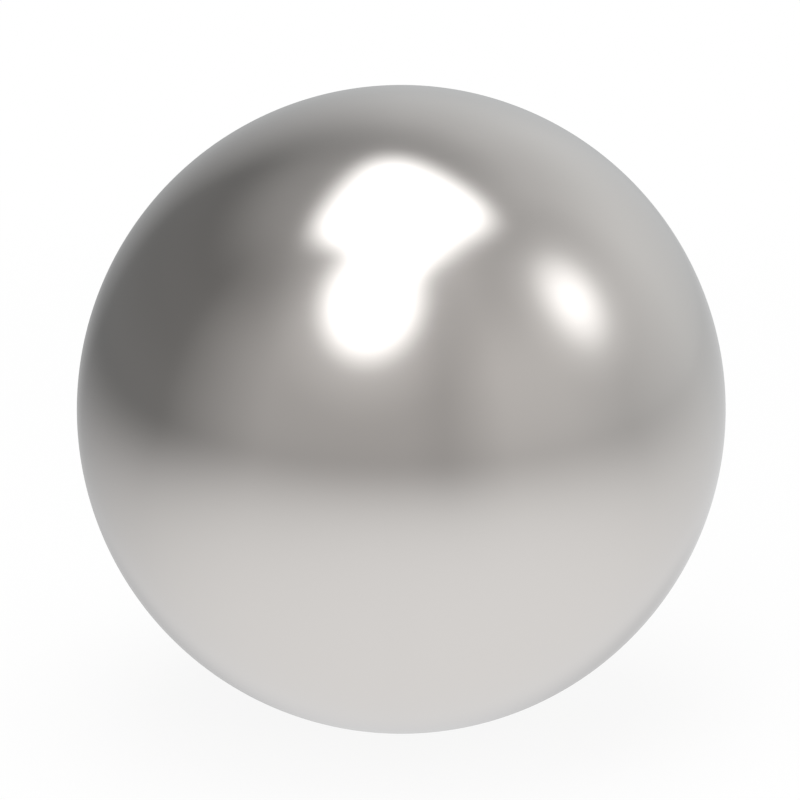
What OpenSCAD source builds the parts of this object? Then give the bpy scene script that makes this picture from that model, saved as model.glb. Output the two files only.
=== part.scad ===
// Polished steel ball: one solid sphere, ground and lapped all over.
// The origin is the ball's centre, with +Z up.

/* [Ball] */
// Nominal diameter of the ball, in millimetres
ball_d = 25.4; // [1:0.1:100]

/* [Hidden] */

// Pale warm grey of bare polished steel
steel_colour = [0.66, 0.65, 0.64];

// Facets round the equator, so that the outline looks round on screen
$fn = 180;

// The ball has no flat, seam, hole or core: its only surface is the sphere
module ball() {
    color(steel_colour)
        sphere(d = ball_d);
}

ball();
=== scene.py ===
import math

import bmesh
import bpy
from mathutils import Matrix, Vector


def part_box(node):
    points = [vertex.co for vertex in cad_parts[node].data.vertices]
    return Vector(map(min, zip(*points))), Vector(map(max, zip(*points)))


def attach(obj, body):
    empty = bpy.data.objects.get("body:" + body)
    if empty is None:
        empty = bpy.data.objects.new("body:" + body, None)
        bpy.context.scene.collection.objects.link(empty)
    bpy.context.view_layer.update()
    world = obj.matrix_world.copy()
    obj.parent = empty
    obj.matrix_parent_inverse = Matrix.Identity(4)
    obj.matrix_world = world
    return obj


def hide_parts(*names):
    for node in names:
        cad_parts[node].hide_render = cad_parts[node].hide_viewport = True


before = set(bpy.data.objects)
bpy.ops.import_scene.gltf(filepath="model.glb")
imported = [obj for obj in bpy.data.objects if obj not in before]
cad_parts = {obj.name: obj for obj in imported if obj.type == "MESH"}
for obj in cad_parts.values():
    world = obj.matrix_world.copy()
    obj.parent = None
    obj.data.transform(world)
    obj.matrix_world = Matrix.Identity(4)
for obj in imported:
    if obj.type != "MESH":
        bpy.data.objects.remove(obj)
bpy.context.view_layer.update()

# The ball, from its CAD node. Its least width is taken, so that it stays inside the CAD box. A cell is one of
# the quads along the side of a cube's face
ball_low, ball_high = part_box("ball")
BALL_CENTRE = (ball_low + ball_high) / 2
BALL_R = min(ball_high - ball_low) / 2
FLOOR_Z = ball_low.z
FACE_CELLS = 90

# Where the photograph shows the ball, in pixels
IMAGE_PX = 800
OUTLINE_R_PX = 324.45
OUTLINE_CENTRE_PX = (400.74, 408.79)

# Camera: a little above the ball, in degrees, with a long lens, in millimetres
CAMERA_ELEVATION = 15
CAMERA_LENS = 200
SENSOR_WIDTH = 36
CLIP_END = 10

# Steel: its colour runs between two near tones in soft clouds, and its polish is hazed by lapping marks. The
# haze is what clouds and marks add up to, and it swings the roughness. The marks are noise that is turned, in
# radians, and stretched two ways, and their depth is in metres
STEEL_PALE = (0.684, 0.661, 0.642, 1)
STEEL_DEEP = (0.674, 0.651, 0.632, 1)
STEEL_EDGE = (0.90, 0.905, 0.915, 1)
STEEL_ROUGHNESS = 0.17
ROUGHNESS_SWING = 0.015
CLOUD_SCALE = 160
CLOUD_DETAIL = 4
HAZE_RANGE = (0.7, 1.3)
LAP_SCALE = 9000
LAP_STRETCH = 30
LAP_DETAIL = 3
LAP_TURNS = [(0.4, 0.9, 0.0), (1.9, -0.5, 0.0), (-0.8, 2.3, 0.0)]
LAP_DEPTH = 0.00002
LAP_STRENGTH = 0.02

# Light from all round
AMBIENT = 0.46

# An even square softbox overhead, faded towards its sides, and two oval lamps that have a bright core in a
# softer halo. Angles are in degrees: where a lamp stands (azimuth from the camera towards its right,
# elevation), and half the width that it shows to the ball. A core fades between two shares of that width
LAMP_DISTANCE = 0.30
SOFTBOX = {"half": 26, "turn": 53.5, "forward": 4.2, "even": 0.38, "level": 2.65}
FRONT_LAMP = {
    "at": (-15, 51),
    "half": 38,
    "tall": 1.24,
    "halo": 0.28,
    "core": 2.22,
    "fade": (0.10, 0.51),
}
SIDE_LAMP = {
    "at": (80.3, 35),
    "half": 24,
    "tall": 1.18,
    "halo": 0.38,
    "core": 0.98,
    "fade": (0.01, 0.63),
}

# Floor as the camera sees it: paint that keeps the ball's shadow, a glow that makes it white, and plain
# white past the shadow's reach
FLOOR_PAINT = 0.13
FLOOR_GLOW = 0.88
FLOOR_R = 3.0
FLOOR_SIDES = 128
SHADOW_REACH = (3 * BALL_R, 8 * BALL_R)

# Floor as the metal mirrors it: a painted pool of white light, off the ball's centre towards the camera, that
# falls off into the grey of a tent's walls, half of it at its reach. The floor is flat, so the reach upwards
# is only there to divide by
PAINTED_POOL_LEVEL = 0.98
PAINTED_POOL_CENTRE = (0.28 * BALL_R, -0.75 * BALL_R, 0)
PAINTED_POOL_REACH = (3.6 * BALL_R, 3.7 * BALL_R, BALL_R)
PAINTED_POOL_FALL = 2.25

# The ball's soft shadow, painted into the pool of light behind the ball: its edge lies between two shares of
# its reach, and it fades out with the distance from the ball
SHADE_LEVEL = 0.72
SHADE_CENTRE = (0.05 * BALL_R, 1.95 * BALL_R, 0)
SHADE_REACH = (1.85 * BALL_R, 2.44 * BALL_R, BALL_R)
SHADE_EDGE = (0.82, 1.0)
SHADE_FADE = (0.4 * BALL_R, 3.0 * BALL_R)

# Tent: a glowing dome round the ball and the lamps, with walls of cards and cloth whose levels are painted
# light. Each has one level between two azimuths in degrees, counted from the camera towards the camera's
# right, and blends evenly into the next. The last blends into the first by way of a level straight behind
# the ball
TENT_R = 0.40
TENT_STEPS = 5
CARDS = [
    {"span": (-142, -90), "level": 0.145},  # dark card on the left
    {"span": (-48, 2), "level": 0.38},  # grey card in front
    {"span": (14, 16), "level": 0.34},  # darker seam
    {"span": (36, 60), "level": 0.50},  # pale cloth on the right
    {"span": (84, 86), "level": 0.44},  # darker seam
    {"span": (125, 160), "level": 0.60},  # pale cloth behind
]
BEHIND_LEVEL = 0.52

# Its light is warmest in front of the ball, at an elevation in degrees, and coolest opposite
WARM = (1.025, 1, 0.978, 1)
COOL = (0.98, 1, 1.005, 1)
WARM_SIDE_ELEVATION = 30

# Painted light on the tent: a glow for what the walls get from the floor at their foot, a paler belt along
# them, and a darker ceiling that leans to the left, by elevation in degrees
FOOT_GLOW = 0.05
FOOT_RISE = 20
BELT_GAIN = 0.32
BELT_MIDDLE = 22.5
BELT_HALF = 34.5
CEILING_AT = (-108, 79)
CEILING_LEFT = 0.37
CEILING_RIGHT = 0.24
CEILING_FROM = 44
CEILING_FULL = 70


def direction(azimuth, elevation):
    """Unit vector at an azimuth counted from the camera towards its right, both in degrees."""
    turn = math.radians(azimuth)
    rise = math.radians(elevation)
    return Vector((math.sin(turn) * math.cos(rise), -math.cos(turn) * math.cos(rise), math.sin(rise)))


def link(obj):
    bpy.context.scene.collection.objects.link(obj)
    return obj


def grey(level):
    return (level, level, level, 1)


# Shader nodes
def new_tree(owner):
    """Gives a material, world or light an empty node tree."""
    owner.use_nodes = True
    owner.node_tree.nodes.clear()
    return owner.node_tree


def feed(tree, socket, value):
    """Sets an input socket to a value, or links another socket to it."""
    if isinstance(value, bpy.types.NodeSocket):
        tree.links.new(value, socket)
    else:
        socket.default_value = value


def math_node(tree, operation, first, second=0.0):
    node = tree.nodes.new("ShaderNodeMath")
    node.operation = operation
    feed(tree, node.inputs[0], first)
    feed(tree, node.inputs[1], second)
    return node.outputs["Value"]


def vector_node(tree, operation, first, second=(0, 0, 0), third=(0, 0, 0)):
    node = tree.nodes.new("ShaderNodeVectorMath")
    node.operation = operation
    feed(tree, node.inputs[0], first)
    feed(tree, node.inputs[1], second)
    feed(tree, node.inputs[2], third)
    return node.outputs["Value" if operation in ("LENGTH", "DOT_PRODUCT") else "Vector"]


def component(tree, vector, axis):
    split = tree.nodes.new("ShaderNodeSeparateXYZ")
    tree.links.new(vector, split.inputs["Vector"])
    return split.outputs[axis]


def map_range(tree, value, source, target, kind="LINEAR"):
    node = tree.nodes.new("ShaderNodeMapRange")
    node.interpolation_type = kind
    feed(tree, node.inputs["Value"], value)
    feed(tree, node.inputs["From Min"], source[0])
    feed(tree, node.inputs["From Max"], source[1])
    feed(tree, node.inputs["To Min"], target[0])
    feed(tree, node.inputs["To Max"], target[1])
    return node.outputs["Result"]


def mix_colour(tree, factor, first, second):
    node = tree.nodes.new("ShaderNodeMix")
    node.data_type = "RGBA"
    feed(tree, node.inputs["Factor"], factor)
    feed(tree, node.inputs["A"], first)
    feed(tree, node.inputs["B"], second)
    return node.outputs["Result"]


def mix_shader(tree, factor, first, second):
    node = tree.nodes.new("ShaderNodeMixShader")
    feed(tree, node.inputs["Fac"], factor)
    tree.links.new(first, node.inputs[1])
    tree.links.new(second, node.inputs[2])
    return node.outputs["Shader"]


def emission(tree, colour, strength=1.0):
    node = tree.nodes.new("ShaderNodeEmission")
    feed(tree, node.inputs["Color"], colour)
    feed(tree, node.inputs["Strength"], strength)
    return node.outputs["Emission"]


def noise(tree, coords, scale, detail):
    node = tree.nodes.new("ShaderNodeTexNoise")
    feed(tree, node.inputs["Vector"], coords)
    feed(tree, node.inputs["Scale"], scale)
    feed(tree, node.inputs["Detail"], detail)
    return node.outputs["Fac"]


def own_coords(tree):
    return tree.nodes.new("ShaderNodeTexCoord").outputs["Object"]


def mirror_rays(tree):
    """1 for a ray off metal or through glass."""
    path = tree.nodes.new("ShaderNodeLightPath")
    return math_node(tree, "MAXIMUM", path.outputs["Is Glossy Ray"], path.outputs["Is Transmission Ray"])


def camera_rays(tree):
    return tree.nodes.new("ShaderNodeLightPath").outputs["Is Camera Ray"]


def output(tree, kind, shader):
    tree.links.new(shader, tree.nodes.new("ShaderNodeOutput" + kind).inputs["Surface"])


# The ball
def cube_sphere(name, centre, radius, cells):
    """An even all-quad sphere: a cube's faces in equal angles, pushed out to the radius."""
    shape = bmesh.new()
    bmesh.ops.create_cube(shape, size=2)
    bmesh.ops.subdivide_edges(shape, edges=shape.edges[:], cuts=cells - 1, use_grid_fill=True)
    for vertex in shape.verts:
        tangents = [math.tan(share * math.pi / 4) for share in vertex.co]
        vertex.co = Vector(tangents).normalized() * radius
    for face in shape.faces:
        face.smooth = True
    mesh = bpy.data.meshes.new(name)
    shape.to_mesh(mesh)
    shape.free()
    ball = link(bpy.data.objects.new(name, mesh))
    ball.location = centre
    return ball


def lapping_marks(tree, coords):
    """Long fine arcs that cross in several directions, as a ball turns between the laps."""
    total = 0.0
    for turn in LAP_TURNS:
        mapping = tree.nodes.new("ShaderNodeMapping")
        mapping.inputs["Rotation"].default_value = turn
        mapping.inputs["Scale"].default_value = (1 / LAP_STRETCH, 1 / LAP_STRETCH, 1)
        tree.links.new(coords, mapping.inputs["Vector"])
        total = math_node(tree, "ADD", noise(tree, mapping.outputs["Vector"], LAP_SCALE, LAP_DETAIL), total)
    return math_node(tree, "DIVIDE", total, len(LAP_TURNS))


def steel_material():
    """Bare metal between mirror and satin, clouded and marked too faintly to show from a step away."""
    material = bpy.data.materials.new("polished_steel")
    tree = new_tree(material)
    shader = tree.nodes.new("ShaderNodeBsdfPrincipled")
    shader.inputs["Metallic"].default_value = 1
    shader.inputs["Specular Tint"].default_value = STEEL_EDGE
    coords = own_coords(tree)
    cloud = noise(tree, coords, CLOUD_SCALE, CLOUD_DETAIL)
    marks = lapping_marks(tree, coords)
    feed(tree, shader.inputs["Base Color"], mix_colour(tree, cloud, STEEL_DEEP, STEEL_PALE))

    haze = math_node(tree, "ADD", cloud, marks)
    swing = (STEEL_ROUGHNESS - ROUGHNESS_SWING, STEEL_ROUGHNESS + ROUGHNESS_SWING)
    feed(tree, shader.inputs["Roughness"], map_range(tree, haze, HAZE_RANGE, swing))

    bump = tree.nodes.new("ShaderNodeBump")
    bump.inputs["Strength"].default_value = LAP_STRENGTH
    bump.inputs["Distance"].default_value = LAP_DEPTH
    feed(tree, bump.inputs["Height"], marks)
    feed(tree, shader.inputs["Normal"], bump.outputs["Normal"])
    output(tree, "Material", shader.outputs["BSDF"])
    return material


ball = cube_sphere("steel_ball", BALL_CENTRE, BALL_R, FACE_CELLS)
ball.data.materials.append(steel_material())
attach(ball, "root")
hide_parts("ball")


# The studio
def make_world():
    """White to the camera and in the metal, and a soft even light on everything else."""
    world = bpy.data.worlds.new("studio")
    tree = new_tree(world)
    shown = math_node(tree, "MAXIMUM", camera_rays(tree), mirror_rays(tree))
    background = tree.nodes.new("ShaderNodeBackground")
    background.inputs["Color"].default_value = grey(1)
    feed(tree, background.inputs["Strength"], map_range(tree, shown, (0, 1), (AMBIENT, 1)))
    output(tree, "World", background.outputs["Background"])
    bpy.context.scene.world = world


def wall_levels(tree, coords):
    """The tent's brightness in the direction of a point, by its azimuth."""
    toward = math_node(tree, "MULTIPLY", component(tree, coords, "Y"), -1)
    azimuth = math_node(tree, "ARCTAN2", component(tree, coords, "X"), toward)
    ramp = tree.nodes.new("ShaderNodeValToRGB")
    ramp.color_ramp.interpolation = "LINEAR"
    stops = ramp.color_ramp.elements
    for end in stops:
        end.color = grey(BEHIND_LEVEL)
    for card in CARDS:
        for degrees in card["span"]:
            stops.new((degrees + 180) / 360).color = grey(card["level"])
    feed(tree, ramp.inputs["Fac"], map_range(tree, azimuth, (-math.pi, math.pi), (0, 1)))
    return ramp.outputs["Color"]


def facing(tree, coords, axis):
    """1 in the direction of an axis, -1 in the opposite one."""
    return vector_node(tree, "DOT_PRODUCT", vector_node(tree, "NORMALIZE", coords), axis)


def elevation_from(tree, coords, axis):
    """How high a point stands on a dome round an axis, in radians."""
    return math_node(tree, "ARCSINE", facing(tree, coords, axis))


def tinted(tree, level, coords):
    """A level warmed in front of the ball and cooled behind it."""
    warmth = map_range(tree, facing(tree, coords, direction(0, WARM_SIDE_ELEVATION)), (-1, 1), (0, 1))
    return vector_node(tree, "MULTIPLY", level, mix_colour(tree, warmth, COOL, WARM))


def reaches(tree, coords, centre, reach):
    """How far a point lies from a centre, as a share of the reach each way."""
    off_centre = vector_node(tree, "SUBTRACT", coords, centre)
    return vector_node(tree, "LENGTH", vector_node(tree, "DIVIDE", off_centre, reach))


def floor_material():
    """White with the ball's shadow to the camera, and in the metal a painted pool of light, with a painted
    shadow, that falls off outwards.
    """
    material = bpy.data.materials.new("pale_floor")
    tree = new_tree(material)
    coords = own_coords(tree)
    flat = vector_node(tree, "LENGTH", coords)
    paint = tree.nodes.new("ShaderNodeBsdfDiffuse")
    paint.inputs["Color"].default_value = grey(FLOOR_PAINT)
    near = tree.nodes.new("ShaderNodeAddShader")
    tree.links.new(paint.outputs["BSDF"], near.inputs[0])
    tree.links.new(emission(tree, grey(FLOOR_GLOW), camera_rays(tree)), near.inputs[1])
    away = map_range(tree, flat, SHADOW_REACH, (0, 1), "SMOOTHSTEP")
    plain = math_node(tree, "MULTIPLY", away, camera_rays(tree))
    seen = mix_shader(tree, plain, near.outputs["Shader"], emission(tree, grey(1)))

    # Painted shadow of the ball, behind it, in the floor as the metal mirrors it
    off_shade = reaches(tree, coords, SHADE_CENTRE, SHADE_REACH)
    inside = map_range(tree, off_shade, SHADE_EDGE, (1, 0), "SMOOTHSTEP")
    close = map_range(tree, flat, SHADE_FADE, (1, 0), "SMOOTHSTEP")
    shade = math_node(tree, "MULTIPLY", inside, close)
    # Painted pool of light in the mirrored floor, darkened where the painted shadow lies
    pool_and_shade = map_range(tree, shade, (0, 1), (PAINTED_POOL_LEVEL, SHADE_LEVEL))
    # The walls' painted levels, with the painted glow from the floor at their foot
    walls = vector_node(tree, "ADD", wall_levels(tree, coords), (FOOT_GLOW, FOOT_GLOW, FOOT_GLOW))
    # Away from its centre the painted pool of light falls off into the walls' levels
    off_pool = reaches(tree, coords, PAINTED_POOL_CENTRE, PAINTED_POOL_REACH)
    fall = math_node(tree, "POWER", off_pool, PAINTED_POOL_FALL)
    past = math_node(tree, "DIVIDE", fall, math_node(tree, "ADD", fall, 1))
    mirrored = mix_colour(tree, past, pool_and_shade, tinted(tree, walls, coords))
    output(tree, "Material", mix_shader(tree, mirror_rays(tree), seen, emission(tree, mirrored)))
    return material


def make_floor():
    shape = bmesh.new()
    bmesh.ops.create_circle(shape, cap_ends=True, segments=FLOOR_SIDES, radius=FLOOR_R)
    mesh = bpy.data.meshes.new("floor")
    shape.to_mesh(mesh)
    shape.free()
    mesh.materials.append(floor_material())
    floor = link(bpy.data.objects.new("floor", mesh))
    floor.location.z = FLOOR_Z


def tent_material():
    """Walls that glow grey with a paler belt, turning into a darker ceiling: all of it painted light."""
    material = bpy.data.materials.new("glowing_tent")
    material.cycles.emission_sampling = "NONE"
    tree = new_tree(material)
    coords = own_coords(tree)
    # Every level on the tent is painted light, glowing in the metal
    elevation = elevation_from(tree, coords, Vector((0, 0, 1)))
    # Painted paler belt along the walls
    above_belt = math_node(tree, "SUBTRACT", elevation, math.radians(BELT_MIDDLE))
    off_belt = math_node(tree, "ABSOLUTE", above_belt)
    gain = map_range(tree, off_belt, (0, math.radians(BELT_HALF)), (1 + BELT_GAIN, 1), "SMOOTHSTEP")
    # Painted glow that the walls get from the floor at their foot
    glow = map_range(tree, elevation, (0, math.radians(FOOT_RISE)), (FOOT_GLOW, 0), "SMOOTHSTEP")
    walls = vector_node(tree, "MULTIPLY_ADD", wall_levels(tree, coords), gain, glow)

    # Darker painted ceiling, centred a little to the left
    rise = (math.radians(CEILING_FROM), math.radians(CEILING_FULL))
    height = elevation_from(tree, coords, direction(*CEILING_AT))
    overhead = map_range(tree, height, rise, (0, 1), "SMOOTHSTEP")
    across = component(tree, coords, "X")
    ceiling = map_range(tree, across, (-TENT_R, TENT_R), (CEILING_LEFT, CEILING_RIGHT))
    level = mix_colour(tree, overhead, walls, ceiling)
    output(tree, "Material", emission(tree, tinted(tree, level, coords)))
    return material


def make_tent():
    """A glowing dome round the ball and the lamps, seen only in the metal."""
    shape = bmesh.new()
    bmesh.ops.create_icosphere(shape, subdivisions=TENT_STEPS, radius=TENT_R)
    mesh = bpy.data.meshes.new("tent")
    shape.to_mesh(mesh)
    shape.free()
    mesh.materials.append(tent_material())
    tent = link(bpy.data.objects.new("tent", mesh))
    for ray in ("camera", "diffuse", "transmission", "volume_scatter", "shadow"):
        setattr(tent, "visible_" + ray, False)


def lamp(name, shape, toward, half):
    """A flat lamp that faces the ball. Half its width is in degrees, and over a square its radiance is 1."""
    light = bpy.data.lights.new(name, "AREA")
    light.shape = shape
    light.size = 2 * LAMP_DISTANCE * math.tan(math.radians(half))
    light.energy = math.pi * light.size ** 2
    body = link(bpy.data.objects.new(name, light))
    body.location = BALL_CENTRE + toward * LAMP_DISTANCE
    body.rotation_euler = toward.to_track_quat("Z", "Y").to_euler()
    body.visible_camera = False
    return body


def lamp_face(tree):
    """A place on a lamp's face, from -1 to 1 each way."""
    place = tree.nodes.new("ShaderNodeNewGeometry").outputs["Parametric"]
    return vector_node(tree, "MULTIPLY_ADD", place, (2, 2, 0), (-1, -1, 0))


def make_softbox():
    """A square overhead, turned and moved towards the camera, that fades towards its sides."""
    softbox = lamp("softbox", "SQUARE", Vector((0, 0, 1)), SOFTBOX["half"])
    softbox.rotation_euler.z = math.radians(SOFTBOX["turn"])
    softbox.location.y -= LAMP_DISTANCE * math.tan(math.radians(SOFTBOX["forward"]))
    tree = new_tree(softbox.data)
    place = vector_node(tree, "ABSOLUTE", lamp_face(tree))
    level = SOFTBOX["level"]
    for axis in "XY":
        fade = map_range(tree, component(tree, place, axis), (SOFTBOX["even"], 1), (1, 0), "SMOOTHSTEP")
        level = math_node(tree, "MULTIPLY", fade, level)
    output(tree, "Light", emission(tree, grey(1), level))


def make_oval_lamp(name, spec):
    """A bright core in a halo. Its energy is brought to an ellipse's area from a square's."""
    body = lamp(name, "ELLIPSE", direction(*spec["at"]), spec["half"])
    body.data.size_y = body.data.size * spec["tall"]
    body.data.energy *= spec["tall"] * math.pi / 4
    tree = new_tree(body.data)
    off_centre = vector_node(tree, "LENGTH", lamp_face(tree))
    halo = map_range(tree, off_centre, (0, 1), (spec["halo"], 0), "SMOOTHSTEP")
    core = map_range(tree, off_centre, spec["fade"], (spec["core"], 0), "SMOOTHSTEP")
    output(tree, "Light", emission(tree, grey(1), math_node(tree, "ADD", halo, core)))


def make_camera():
    """Stands off until the ball is as wide as in the photograph, and is aimed to put it in its place."""
    camera = bpy.data.cameras.new("camera")
    camera.lens = CAMERA_LENS
    camera.sensor_width = SENSOR_WIDTH
    focal_px = CAMERA_LENS / SENSOR_WIDTH * IMAGE_PX
    distance = BALL_R * math.hypot(1, focal_px / OUTLINE_R_PX)
    camera.clip_start = BALL_R
    camera.clip_end = CLIP_END
    body = link(bpy.data.objects.new("camera", camera))
    back = direction(0, CAMERA_ELEVATION)
    body.location = BALL_CENTRE + back * distance
    middle = (IMAGE_PX - 1) / 2
    right = Vector((1, 0, 0))
    up = back.cross(right)
    across = (middle - OUTLINE_CENTRE_PX[0]) / focal_px * distance
    above = (OUTLINE_CENTRE_PX[1] - middle) / focal_px * distance
    target = BALL_CENTRE + right * across + up * above
    body.rotation_euler = (target - body.location).to_track_quat("-Z", "Y").to_euler()
    bpy.context.scene.camera = body


make_world()
make_floor()
make_tent()
make_softbox()
make_oval_lamp("front_lamp", FRONT_LAMP)
make_oval_lamp("side_lamp", SIDE_LAMP)
make_camera()
bpy.context.scene.view_settings.view_transform = "Standard"

bpy.context.view_layer.update()
